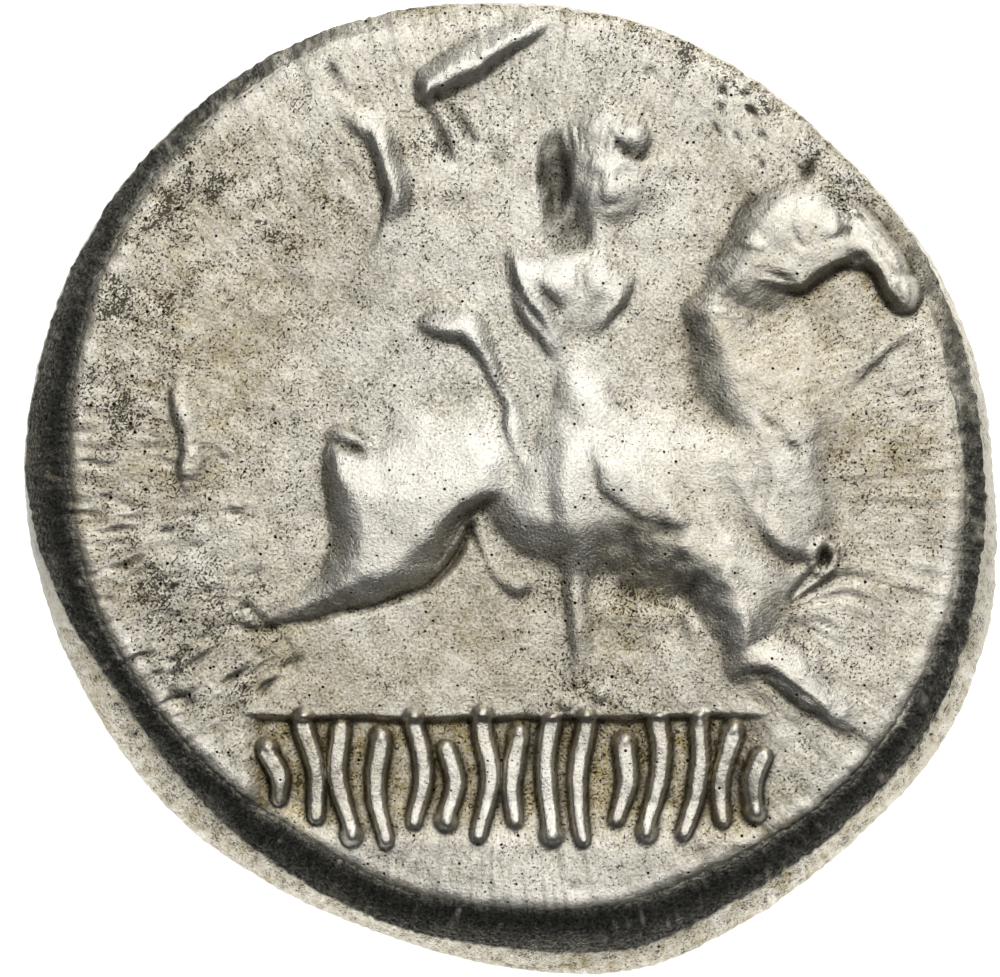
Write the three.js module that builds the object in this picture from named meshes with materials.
// A thick silver hexadrachm, struck by hand on an uneven flan.
// The shown side is up: a rider on a horse walking right, over a sunk panel of raised strokes.
// The worn other side is down, with a real flat spot on which the coin lies.
// Millimetres, +Z up, +Y to the top of the design, origin under the middle of the flan, on the ground.

import * as THREE from 'three';

// Driving dimensions of the flan
const FLAN_DIAMETER = 25; // mean width of the flan
const FIELD_LEVEL = 3.62; // height of the flat field of the shown side above the ground
const WAIST_LEVEL = 1.7; // height at which the flan is widest
const RIM_WIDTH = 1; // mean width of the sloping rim outside the face
const BEVEL_WIDTH = 0.63; // mean width of the bevel, the inner part of that rim
const BEVEL_TILT = 31; // degrees, the fall of the hammered bevel
const FULL_BEVEL = 0.45; // a bevel narrower than this is also less steep
const BACK_RISE = 0.55; // how far the worn back lifts off the ground at its edge
const BACK_FLAT_DIAMETER = 12; // worn flat spot that the coin lies on
const BACK_EDGE_ROUNDING = 1.1; // width of the rounded lower edge

// Driving dimensions of the design
const DESIGN_WIDTH = 25.8; // real width of the design's grid of 1000 units
const RELIEF_HEIGHT = 0.5; // height of the horse over the field
const FIELD_UNEVENNESS = 0.05; // soft waves that the hammer left in the field
const PANEL_DEPTH = 0.17; // how far the panel below the horse is sunk
const PANEL_WALL = 0.14; // width of the panel's upper wall
const STROKE_WIDTH = 0.56; // width of one stroke of the panel's row
const STROKE_HEIGHT = 0.26; // height of a stroke over the panel's ground
const DOT_DIAMETER = 0.62; // round dots at the ends of the strokes

// How closely the facets follow the relief
const CARVING_TOLERANCE = 0.043; // largest step between a facet and the relief, before it is split
const COARSE_LEVEL = 4; // halvings of the face that every facet has
const FINE_LEVEL = 7; // halvings at the finest carving
const BACK_RINGS = 3; // rings of facets across the back
const EDGE_RINGS = 3; // rings of facets round the lower edge

// The flan's outline, clockwise from the top, a value for each half hour, in percent of its mean radius
const OUTLINE = [
  100.4, 99.6, 98.8, 97.9, 99.4, 99.8, 100.6, 103.5, 104.3, 102.3, 102.3, 103.1,
  99.2, 95.9, 95.5, 96.5, 96.7, 97.5, 99.8, 100.4, 101.2, 101.6, 101.9, 101.4,
];
// The rim and its bevel, clockwise from the top, a value for each hour, in percent of their mean width
const RIM_SHAPE = [57, 45, 82, 82, 126, 152, 155, 147, 131, 118, 72, 41];
const BEVEL_SHAPE = [24, 19, 41, 91, 136, 156, 195, 152, 99, 152, 88, 48];

const UNIT = DESIGN_WIDTH / 1000;

// Small helpers
function clamp(value, low, high) {
  return Math.min(high, Math.max(low, value));
}

function smooth(value) {
  const t = clamp(value, 0, 1);
  return t * t * (3 - 2 * t);
}

/** A cubic through four values, at t between the middle two. */
function cubic(a, b, c, d, t) {
  const slope = c - a;
  const bend = 2 * a - 5 * b + 4 * c - d;
  const twist = 3 * b - a - 3 * c + d;
  return 0.5 * (2 * b + slope * t + bend * t * t + twist * t ** 3);
}

/** The higher of two heights, with a fillet where they meet. */
function join(a, b, fillet) {
  const t = clamp(0.5 + (0.5 * (a - b)) / fillet, 0, 1);
  return b + (a - b) * t + fillet * t * (1 - t);
}

/** A value read smoothly round the clock, angle in radians clockwise from the top. */
function roundTheClock(values, angle) {
  const n = values.length;
  const place = ((angle / (2 * Math.PI)) * n + n) % n;
  const i = Math.floor(place);
  const pick = (k) => values[(i + k + n) % n];
  return cubic(pick(-1), pick(0), pick(1), pick(2), place - i);
}

/** A smooth line through points, open or closed; each point may carry more numbers, such as a width. */
function smoothLine(points, closed, steps) {
  const n = points.length;
  const line = [];
  const pick = (k, c) => {
    if (closed) return points[(k + n) % n][c];
    if (k < 0) return 2 * points[0][c] - points[1][c];
    if (k >= n) return 2 * points[n - 1][c] - points[n - 2][c];
    return points[k][c];
  };
  const spans = closed ? n : n - 1;
  for (let i = 0; i < spans; i += 1) {
    for (let s = 0; s < steps; s += 1) {
      const at = (c) => cubic(pick(i - 1, c), pick(i, c), pick(i + 1, c), pick(i + 2, c), s / steps);
      line.push(points[i].map((_, c) => at(c)));
    }
  }
  if (!closed) line.push([...points[n - 1]]);
  return line;
}

/** The box round a line, grown by a margin. */
function boxOf(line, margin) {
  const xs = line.map((p) => p[0]);
  const ys = line.map((p) => p[1]);
  return {
    holds: (x, y) => x > Math.min(...xs) - margin && x < Math.max(...xs) + margin
      && y > Math.min(...ys) - margin && y < Math.max(...ys) + margin,
  };
}

/** The nearest place on a segment: its distance and how far along it is. */
function nearestOn(a, b, x, y) {
  const dx = b[0] - a[0];
  const dy = b[1] - a[1];
  const along = clamp(((x - a[0]) * dx + (y - a[1]) * dy) / Math.max(dx * dx + dy * dy, 1e-9), 0, 1);
  return { distance: Math.hypot(x - a[0] - dx * along, y - a[1] - dy * along), along };
}

// Forms of the relief. Places and widths are in units of the design's grid, heights in shares of
// RELIEF_HEIGHT, and each form is a function of a place that gives a height in the same shares.
const LINE_STEPS = 4; // straight steps between two points of a smooth line
const LEAST_SLOPE = 4; // narrowest slope of a patch, in units
const ROUND_CROWN = 2; // power of a round crown
const FLAT_CROWN = 6; // power of a flat crown
const BODY_FILLET = 0.2; // fillet between the horse's large masses, in shares of RELIEF_HEIGHT
const CHEST_FILLET = 0.16; // fillet where the chest and the neck grow out of the body
const LIMB_FILLET = 0.12; // fillet of the foreleg and of the rider's thigh
const FIGURE_FILLET = 0.1; // fillet between the rider and the horse
const HEAD_FILLET = 0.06; // fillet round the horse's head

/** A tapering ridge through points of x, y, half width and height; a high power makes its crown flat. */
function ridge(points, power = ROUND_CROWN) {
  const line = smoothLine(points, false, LINE_STEPS);
  const box = boxOf(line, Math.max(...points.map((p) => p[2])));
  return (x, y) => {
    if (!box.holds(x, y)) return 0;
    let best = 0;
    for (let i = 0; i + 1 < line.length; i += 1) {
      const near = nearestOn(line[i], line[i + 1], x, y);
      const width = line[i][2] + (line[i + 1][2] - line[i][2]) * near.along;
      const top = line[i][3] + (line[i + 1][3] - line[i][3]) * near.along;
      const value = top * Math.max(0, 1 - (near.distance / width) ** power);
      if (Math.abs(value) > Math.abs(best)) best = value;
    }
    return best;
  };
}

/** A step through points of x, y, width of its steep side, width of its fading side and height.
 *  The fading side is on the left along the line. */
function ledge(points) {
  const line = smoothLine(points, false, LINE_STEPS);
  const box = boxOf(line, Math.max(...points.map((p) => Math.max(p[2], p[3]))));
  return (x, y) => {
    if (!box.holds(x, y)) return 0;
    let nearest = Infinity;
    let value = 0;
    for (let i = 0; i + 1 < line.length; i += 1) {
      const a = line[i];
      const b = line[i + 1];
      const near = nearestOn(a, b, x, y);
      if (near.distance < nearest) {
        nearest = near.distance;
        const side = (b[0] - a[0]) * (y - a[1]) - (b[1] - a[1]) * (x - a[0]) > 0 ? 3 : 2;
        const width = a[side] + (b[side] - a[side]) * near.along;
        value = (a[4] + (b[4] - a[4]) * near.along) * (1 - smooth(near.distance / width));
      }
    }
    return value;
  };
}

/** A raised patch inside a smooth closed outline of points of x, y and the width of the slope there. */
function patch(points, top) {
  const line = smoothLine(points, true, LINE_STEPS);
  const box = boxOf(line, 0);
  return (x, y) => {
    if (!box.holds(x, y)) return 0;
    let inside = false;
    let nearest = 1;
    for (let i = 0; i < line.length; i += 1) {
      const a = line[i];
      const b = line[(i + 1) % line.length];
      const crosses = (a[1] > y) !== (b[1] > y);
      if (crosses && x < a[0] + ((y - a[1]) * (b[0] - a[0])) / (b[1] - a[1])) inside = !inside;
      const near = nearestOn(a, b, x, y);
      const slope = Math.max(LEAST_SLOPE, a[2] + (b[2] - a[2]) * near.along);
      nearest = Math.min(nearest, near.distance / slope);
    }
    return inside ? top * smooth(nearest) : 0;
  };
}

/** An oval mound, or with a negative top a hollow. */
function mound(x0, y0, halfWidth, halfHeight, top) {
  return (x, y) => top * Math.max(0, 1 - ((x - x0) / halfWidth) ** 2 - ((y - y0) / halfHeight) ** 2);
}

// The horse, walking right with its head turned down
const haunch = patch([
  [-268, -139, 56], [-215, -134, 44], [-184, -128, 42], [-125, -121, 40], [-84, -105, 42], [-66, -84, 40],
  [-52, -62, 30], [-39, -37, 22], [-18, -26, 24], [12, -15, 30], [50, 10, 90], [40, 80, 110],
  [-20, 112, 120], [-100, 108, 120], [-142, 76, 90], [-176, 58, 56], [-190, 40, 52], [-192, 0, 58],
  [-187, -50, 58], [-202, -82, 60], [-235, -102, 66], [-268, -116, 66],
], 1);
const barrel = patch([
  [-50, 20, 90], [-22, -44, 46], [20, -78, 54], [64, -94, 62], [112, -96, 60], [152, -108, 60],
  [190, -138, 58], [226, -184, 50], [262, -176, 50], [280, -110, 80], [250, 20, 100], [150, 95, 90],
  [30, 95, 90],
], 0.96);
const chest = patch([
  [164, 192, 44], [168, 149, 46], [170, 109, 62], [176, 69, 104], [190, 29, 116], [210, -5, 66],
  [222, -46, 36], [246, -72, 32], [282, -84, 34], [320, -78, 62], [356, -30, 105], [380, 40, 120],
  [366, 119, 110], [316, 169, 90], [262, 196, 80], [212, 208, 50],
], 0.86);
const neck = patch([
  [180, 176, 44], [194, 222, 48], [206, 248, 42], [232, 260, 34], [264, 262, 50], [292, 229, 60],
  [292, 169, 80], [242, 139, 80],
], 0.8);
const foreleg = ledge([
  [222, -190, 12, 34, 0.12], [238, -179, 14, 42, 0.48], [254, -175, 16, 46, 0.64], [270, -182, 17, 46, 0.68],
  [288, -196, 17, 46, 0.64], [306, -209, 16, 44, 0.56], [326, -222, 14, 40, 0.4], [350, -242, 12, 36, 0.12],
]);
const horseHead = patch([
  [242, 210, 20], [263, 200, 14], [287, 193, 14], [304, 198, 14], [322, 209, 14], [342, 213, 14],
  [354, 205, 14], [368, 185, 14], [381, 172, 13], [396, 171, 12], [409, 179, 14], [412, 204, 20],
  [398, 231, 30], [383, 264, 40], [366, 292, 46], [337, 312, 50], [292, 318, 50], [256, 306, 36],
  [235, 284, 36], [226, 254, 38], [232, 228, 34],
], 0.85);
const horseDetails = [
  mound(300, 270, 44, 42, 0.16),
  ridge([
    [340, 292, 7, 0.1], [355, 273, 9, 0.24], [368, 252, 10, 0.28], [387, 226, 10, 0.28], [396, 211, 9, 0.2],
    [392, 194, 12, 0.12],
  ]),
  ridge([[249, 214, 5, 0.08], [261, 208, 5, 0.2], [279, 202, 5, 0.2], [293, 202, 5, 0.1]]),
  ridge([[186, 182, 6, 0.08], [206, 177, 8, 0.24], [230, 165, 7, 0.1]]),
  ridge([[-176, 50, 7, 0.16], [-160, 49, 9, 0.4], [-140, 38, 6, 0.1]]),
];

function horse(x, y) {
  let height = join(haunch(x, y), barrel(x, y), BODY_FILLET);
  height = join(height, chest(x, y), CHEST_FILLET);
  height = join(height, neck(x, y), CHEST_FILLET);
  height = join(height, foreleg(x, y), LIMB_FILLET);
  height = join(height, horseHead(x, y), HEAD_FILLET);
  return height + horseDetails.reduce((sum, form) => sum + form(x, y), 0);
}

// The rider, facing the viewer, with a crest of hair and a dot at the brow
const riderHead = patch([
  [46, 346, 38], [30, 322, 48], [24, 292, 50], [32, 258, 50], [52, 234, 46], [80, 222, 54], [120, 222, 66],
  [158, 242, 74], [180, 286, 80], [176, 324, 76], [150, 352, 62], [112, 364, 46], [74, 362, 38],
], 0.76);
const riderNeck = patch([
  [58, 282, 30], [60, 240, 36], [52, 205, 50], [132, 205, 60], [128, 245, 50], [126, 285, 30],
], 0.5);
const breast = mound(66, 200, 66, 56, 0.48);
const leftSide = ledge([
  [4, 240, 8, 30, 0.1], [8, 220, 9, 44, 0.48], [12, 200, 9, 50, 0.6], [22, 178, 10, 54, 0.64],
  [34, 160, 11, 50, 0.56], [44, 144, 10, 40, 0.36], [50, 130, 9, 30, 0.1],
]);
const rightSide = ledge([
  [86, 146, 8, 30, 0.06], [95, 162, 11, 44, 0.36], [107, 182, 12, 50, 0.48], [118, 201, 10, 44, 0.36],
  [126, 218, 8, 36, 0.12], [130, 236, 8, 30, 0.02],
]);
const thigh = patch([
  [52, 59, 50], [58, 19, 44], [72, 0, 34], [90, -11, 30], [106, -26, 30], [132, -42, 32], [164, -52, 32],
  [190, -50, 30], [208, -26, 40], [210, 12, 60], [186, 54, 70], [132, 80, 70], [82, 84, 66],
], 1.22);
const arm = ledge([
  [-90, 170, 6, 18, 0.1], [-78, 162, 9, 30, 0.44], [-62, 155, 11, 36, 0.6], [-46, 154, 11, 38, 0.6],
  [-34, 145, 10, 30, 0.6], [-24, 133, 9, 18, 0.48], [-12, 112, 8, 12, 0.28], [-4, 100, 7, 12, 0.06],
]);
const hair = ridge([
  [54, 346, 12, 0.08], [68, 372, 20, 0.2], [96, 386, 26, 0.3], [128, 382, 26, 0.26], [154, 364, 20, 0.16],
  [166, 344, 10, 0.04],
]);
const skirt = ridge([
  [74, 140, 24, 0.12], [76, 100, 30, 0.36], [84, 76, 36, 0.52], [98, 40, 50, 0.6], [110, 20, 60, 0.4],
]);
const lowerLeg = ridge([
  [-34, -48, 5, 0.08], [-26, -66, 7, 0.2], [-14, -82, 8, 0.24], [-2, -92, 8, 0.28], [10, -98, 9, 0.44],
  [20, -100, 7, 0.16],
]);
const riderForms = [riderHead, riderNeck, breast, leftSide, rightSide, arm, hair, skirt, lowerLeg];
const riderDetails = [
  mound(26, 300, 44, 66, -0.34),
  mound(125, 348, 20, 15, 0.4),
  mound(157, 322, 13, 12, 0.24),
  mound(42, 210, 28, 26, 0.16),
  mound(95, 208, 25, 26, 0.16),
  ridge([[26, 204, 4, -0.1], [42, 190, 5, -0.28], [54, 176, 5, -0.1]]),
  ledge([
    [-18, 122, 6, 12, 0.06], [-6, 102, 7, 14, 0.2], [2, 82, 8, 16, 0.28], [6, 60, 8, 18, 0.26],
    [10, 38, 7, 18, 0.16], [14, 16, 6, 16, 0.04],
  ]),
  ledge([
    [54, 150, 10, 30, 0.04], [56, 100, 14, 34, 0.1], [57, 40, 18, 40, 0.14], [59, 0, 18, 40, 0.26],
    [62, -40, 16, 36, 0.34], [66, -90, 13, 26, 0.36], [68, -140, 11, 20, 0.32], [69, -190, 8, 14, 0.08],
  ]),
];

function rider(x, y) {
  return join(Math.max(...riderForms.map((form) => form(x, y))), thigh(x, y), LIMB_FILLET);
}

// Worn marks in the field: a slanting bar and a bow behind the rider, a knob and small dots
const fieldMarks = [
  ledge([
    [-77, 394, 10, 14, 0.36], [-72, 401, 16, 24, 0.6], [-54, 412, 18, 28, 0.64], [-31, 424, 18, 28, 0.64],
    [2, 440, 15, 24, 0.52], [38, 461, 8, 16, 0.12],
  ]),
  ridge([[-78, 404, 6, 0.2], [-77, 392, 6, 0.32], [-75, 376, 5, 0.08]]),
  ridge([
    [-88, 387, 4, -0.12], [-77, 373, 4, -0.2], [-67, 353, 5, -0.28], [-58, 332, 5, -0.2],
    [-51, 321, 4, -0.06],
  ]),
  ledge([
    [-158, 372, 6, 20, 0.08], [-141, 357, 11, 24, 0.32], [-129, 341, 12, 26, 0.48], [-122, 318, 12, 28, 0.52],
    [-116, 295, 11, 28, 0.52], [-114, 277, 9, 24, 0.4], [-120, 256, 7, 30, 0.16], [-141, 222, 10, 40, 0.06],
  ]),
  ledge([[-322, 96, 6, 20, 0.06], [-323, 60, 8, 26, 0.2], [-322, 20, 8, 26, 0.16], [-318, 2, 6, 16, 0.04]]),
  ledge([[338, 104, 5, 14, 0.06], [355, 120, 6, 18, 0.2], [378, 138, 6, 18, 0.2], [402, 155, 5, 14, 0.06]]),
  mound(315, -69, 16, 18, 0.34),
  mound(316, -69, 11, 13, -0.48),
  mound(57, -213, 8, 8, 0.2),
  mound(97, -200, 9, 9, 0.2),
];

// The sunk panel, with a row of slanting and bowed strokes
const PANEL_TOP = -226;
const PANEL_LEFT = -262;
const PANEL_RIGHT = 262;
const PANEL_BOTTOM = -352;
const PANEL_END_SLOPE = 40; // the panel's ends and foot run out softly
const STROKE_ROW = [
  // x at the top, x at the foot, bow to the right, top and foot over the panel's lower line
  [-238, -226, 5, 88, 44],
  [-204, -190, 7, 118, 26],
  [-166, -156, -8, 112, 12],
  [-126, -120, -8, 100, 2],
  [-92, -92, 8, 118, 20],
  [-60, -60, 8, 92, 26],
  [-24, -28, 9, 120, 8],
  [12, 8, -7, 102, 22],
  [44, 44, -7, 118, 12],
  [80, 74, -8, 118, 4],
  [116, 108, 7, 94, 24],
  [148, 138, 8, 118, 14],
  [190, 176, 8, 112, 10],
  [224, 214, -6, 104, 22],
  [252, 246, -5, 84, 34],
];
const FOOT_TAPER = 0.8; // width and height of a stroke's foot, as a share of its top
const DOT_RISE = 1.15; // height of a dot, as a share of a stroke's
const DOT_OVERHANG = 5; // how far a dot's middle is beyond its stroke's end
const halfStroke = STROKE_WIDTH / UNIT / 2;
const halfDot = DOT_DIAMETER / UNIT / 2;
const strokes = STROKE_ROW.flatMap(([top, foot, bow, high, low], i) => {
  const yTop = PANEL_BOTTOM + high;
  const yFoot = PANEL_BOTTOM + low;
  const stroke = ridge([
    [top, yTop, halfStroke, 1],
    [(top + foot) / 2 + bow, (yTop + yFoot) / 2, halfStroke, 1],
    [foot, yFoot, halfStroke * FOOT_TAPER, FOOT_TAPER],
  ], FLAT_CROWN);
  const dotAtTop = i % 3 < 2;
  const [dotX, dotY] = dotAtTop ? [top, yTop + DOT_OVERHANG] : [foot, yFoot - DOT_OVERHANG];
  return [stroke, mound(dotX, dotY, halfDot, halfDot, DOT_RISE)];
});

function panel(x, y) {
  const depth = Math.min(
    (PANEL_TOP - y) / (PANEL_WALL / UNIT),
    (x - PANEL_LEFT) / (PANEL_END_SLOPE / 2),
    (PANEL_RIGHT - x) / PANEL_END_SLOPE,
    (y - PANEL_BOTTOM) / PANEL_END_SLOPE,
  );
  const raised = Math.max(...strokes.map((form) => form(x, y)));
  return STROKE_HEIGHT * raised - PANEL_DEPTH * clamp(depth, 0, 1);
}

const WAVE_ACROSS = 70; // units in one radian of the field's waves, from left to right
const WAVE_UP = 83; // the same from the foot to the top

/** Height of the shown side over the ground, at a place in mm. */
function faceHeight(xMm, yMm) {
  const x = xMm / UNIT;
  const y = yMm / UNIT;
  const details = [...riderDetails, ...fieldMarks].reduce((sum, form) => sum + form(x, y), 0);
  const figures = join(Math.max(0, horse(x, y)), rider(x, y), FIGURE_FILLET) + details;
  const waves = FIELD_UNEVENNESS * Math.sin(x / WAVE_ACROSS + 1) * Math.sin(y / WAVE_UP);
  return FIELD_LEVEL + RELIEF_HEIGHT * figures + waves + panel(x, y);
}

// The flan's rim, by the angle clockwise from the top
const meanRadius = FLAN_DIAMETER / 2;
const outlineRadius = (angle) => (meanRadius * roundTheClock(OUTLINE, angle)) / 100;
const faceRadius = (angle) => outlineRadius(angle) - (RIM_WIDTH * roundTheClock(RIM_SHAPE, angle)) / 100;
const bevelWidth = (angle) => (BEVEL_WIDTH * roundTheClock(BEVEL_SHAPE, angle)) / 100;

/** The face is a square grid bent to the round: gives the place in mm for u and v from -1 to 1. */
function bend(u, v) {
  const x = u * Math.sqrt(1 - (v * v) / 2);
  const y = v * Math.sqrt(1 - (u * u) / 2);
  const radius = faceRadius(Math.atan2(x, y));
  return [x * radius, y * radius];
}

// The face's grid is halved where the relief needs it. A cell is named by its level and its place.
const FULL = 2 ** (FINE_LEVEL + 1); // steps across the face on the finest grid of corners and centres
const gridPoint = (i, j) => bend((2 * i) / FULL - 1, (2 * j) / FULL - 1);
const heights = new Map();

function heightAt(i, j) {
  const key = i * (FULL + 1) + j;
  if (!heights.has(key)) heights.set(key, faceHeight(...gridPoint(i, j)));
  return heights.get(key);
}

const SAMPLES = 4; // steps across a cell at which the relief is compared with the facet

/** Whether the relief inside a cell bows away from the cell's corners by more than the tolerance. */
function needsSplit(i, j, size) {
  const steps = [[0, 0], [size, 0], [0, size], [size, size]];
  const corners = steps.map(([a, b]) => heightAt(i + a, j + b));
  const step = size / SAMPLES;
  for (let a = 0; a <= SAMPLES; a += 1) {
    for (let b = 0; b <= SAMPLES; b += 1) {
      const s = a / SAMPLES;
      const t = b / SAMPLES;
      const low = corners[0] * (1 - s) + corners[1] * s;
      const high = corners[2] * (1 - s) + corners[3] * s;
      const flat = low * (1 - t) + high * t;
      if (Math.abs(heightAt(i + a * step, j + b * step) - flat) > CARVING_TOLERANCE) return true;
    }
  }
  return false;
}

const leaves = new Map();
const leafKey = (i, j) => i * FULL + j;

function split(i, j, size) {
  const half = size / 2;
  for (const [a, b] of [[0, 0], [half, 0], [0, half], [half, half]]) {
    leaves.set(leafKey(i + a, j + b), { i: i + a, j: j + b, size: half });
  }
}

/** The leaf that holds a point of the finest grid, if it is on the face. */
function leafAt(i, j) {
  if (i < 0 || j < 0 || i >= FULL || j >= FULL) return null;
  for (let size = 2; size <= FULL; size *= 2) {
    const leaf = leaves.get(leafKey(i - (i % size), j - (j % size)));
    if (leaf && leaf.size === size) return leaf;
  }
  return null;
}

const coarse = FULL / 2 ** COARSE_LEVEL;
for (let i = 0; i < FULL; i += coarse) {
  for (let j = 0; j < FULL; j += coarse) leaves.set(leafKey(i, j), { i, j, size: coarse });
}

/** The finest a cell may be: cells at the edge of the face stay one step coarser, to match the rim. */
function smallest(leaf) {
  const atEdge = leaf.i === 0 || leaf.j === 0 || leaf.i + leaf.size === FULL || leaf.j + leaf.size === FULL;
  return atEdge ? coarse / 2 : 4;
}

for (let level = COARSE_LEVEL; level < FINE_LEVEL; level += 1) {
  for (const leaf of [...leaves.values()]) {
    if (leaf.size > smallest(leaf) && leaf.size >= 4 && needsSplit(leaf.i, leaf.j, leaf.size)) {
      split(leaf.i, leaf.j, leaf.size);
    }
  }
}

// Neighbours differ by one halving at most
for (let changed = true; changed;) {
  changed = false;
  for (const leaf of [...leaves.values()].sort((a, b) => a.size - b.size)) {
    const { i, j, size } = leaf;
    for (const [a, b] of [[i - 1, j], [i + size, j], [i, j - 1], [i, j + size]]) {
      const beside = leafAt(a, b);
      if (beside && beside.size > 2 * size) {
        split(beside.i, beside.j, beside.size);
        changed = true;
      }
    }
  }
}

// The body's vertices and triangles
const positions = [];
const triangles = [];
const vertexOf = new Map();

function addVertex(x, y, z) {
  positions.push(x, y, z);
  return positions.length / 3 - 1;
}

function faceVertex(i, j) {
  const key = i * (FULL + 1) + j;
  if (!vertexOf.has(key)) vertexOf.set(key, addVertex(...gridPoint(i, j), heightAt(i, j)));
  return vertexOf.get(key);
}

/** The corners round a leaf, counterclockwise, with its neighbours' corners that lie on its sides. */
function cornersRound({ i, j, size }) {
  const half = size / 2;
  const sides = [
    [[i, j], [i + half, j], [i + half, j - 1]],
    [[i + size, j], [i + size, j + half], [i + size, j + half]],
    [[i + size, j + size], [i + half, j + size], [i + half, j + size]],
    [[i, j + size], [i, j + half], [i - 1, j + half]],
  ];
  return sides.flatMap(([corner, middle, beyond]) => {
    const beside = leafAt(...beyond);
    return beside && beside.size < size ? [corner, middle] : [corner];
  });
}

const rimPoints = new Map();
for (const leaf of leaves.values()) {
  const ring = cornersRound(leaf);
  const centre = faceVertex(leaf.i + leaf.size / 2, leaf.j + leaf.size / 2);
  ring.forEach(([i, j], k) => {
    const [nextI, nextJ] = ring[(k + 1) % ring.length];
    triangles.push(centre, faceVertex(i, j), faceVertex(nextI, nextJ));
    if (i === 0 || j === 0 || i === FULL || j === FULL) rimPoints.set(faceVertex(i, j), gridPoint(i, j));
  });
}

// The rim: bevel, steep side, waist, rounded lower edge and the worn back, each a ring round the face
const rim = [...rimPoints.entries()]
  .map(([vertex, [x, y]]) => ({ vertex, angle: Math.atan2(x, y) }))
  .sort((a, b) => b.angle - a.angle);
const steepest = Math.tan(THREE.MathUtils.degToRad(BEVEL_TILT));
const MIDDLE_OF_SIDE = 0.78; // how far out the ring in the middle of the steep side is
const backFlatRadius = BACK_FLAT_DIAMETER / 2;

/** The rim's profile below the face at one angle: radius and height of each ring. */
function rimProfile(angle) {
  const outline = outlineRadius(angle);
  const bevel = bevelWidth(angle);
  const bevelLevel = FIELD_LEVEL - bevel * steepest * smooth(bevel / FULL_BEVEL);
  const foot = faceRadius(angle) + bevel;
  const profile = [
    [foot, bevelLevel],
    [foot + (outline - foot) * MIDDLE_OF_SIDE, (bevelLevel + WAIST_LEVEL) / 2],
    [outline, WAIST_LEVEL],
  ];
  const edgeFall = WAIST_LEVEL - BACK_RISE;
  for (let k = 1; k <= EDGE_RINGS; k += 1) {
    const turn = ((k / EDGE_RINGS) * Math.PI) / 2;
    const radius = outline - BACK_EDGE_ROUNDING * (1 - Math.cos(turn));
    profile.push([radius, WAIST_LEVEL - edgeFall * Math.sin(turn)]);
  }
  const backRadius = outline - BACK_EDGE_ROUNDING;
  for (let k = 1; k <= BACK_RINGS; k += 1) {
    const inward = k / BACK_RINGS;
    const radius = backRadius + (backFlatRadius - backRadius) * inward;
    profile.push([radius, BACK_RISE * (1 - inward) ** 2]);
  }
  return profile;
}

const profiles = rim.map(({ angle }) => rimProfile(angle));
let above = rim.map(({ vertex }) => vertex);
profiles[0].forEach((_, level) => {
  const below = rim.map(({ angle }, k) => {
    const [radius, z] = profiles[k][level];
    return addVertex(radius * Math.sin(angle), radius * Math.cos(angle), z);
  });
  rim.forEach((_point, k) => {
    const next = (k + 1) % rim.length;
    triangles.push(above[k], below[k], below[next], above[k], below[next], above[next]);
  });
  above = below;
});
const backCentre = addVertex(0, 0, 0);
rim.forEach((_point, k) => triangles.push(backCentre, above[(k + 1) % rim.length], above[k]));

// The whole is centred, so that the origin is under the middle of the flan
const geometry = new THREE.BufferGeometry();
geometry.setAttribute('position', new THREE.Float32BufferAttribute(positions, 3));
geometry.setIndex(triangles);
geometry.computeBoundingBox();
const middle = geometry.boundingBox.getCenter(new THREE.Vector3());
geometry.translate(-middle.x, -middle.y, -geometry.boundingBox.min.z);
geometry.computeVertexNormals();

const silver = new THREE.MeshStandardMaterial({ color: 0xb9b4a6, roughness: 0.35, metalness: 1 });
const coin = new THREE.Mesh(geometry, silver);
coin.name = 'coin';

const group = new THREE.Group();
group.add(coin);

export default group;
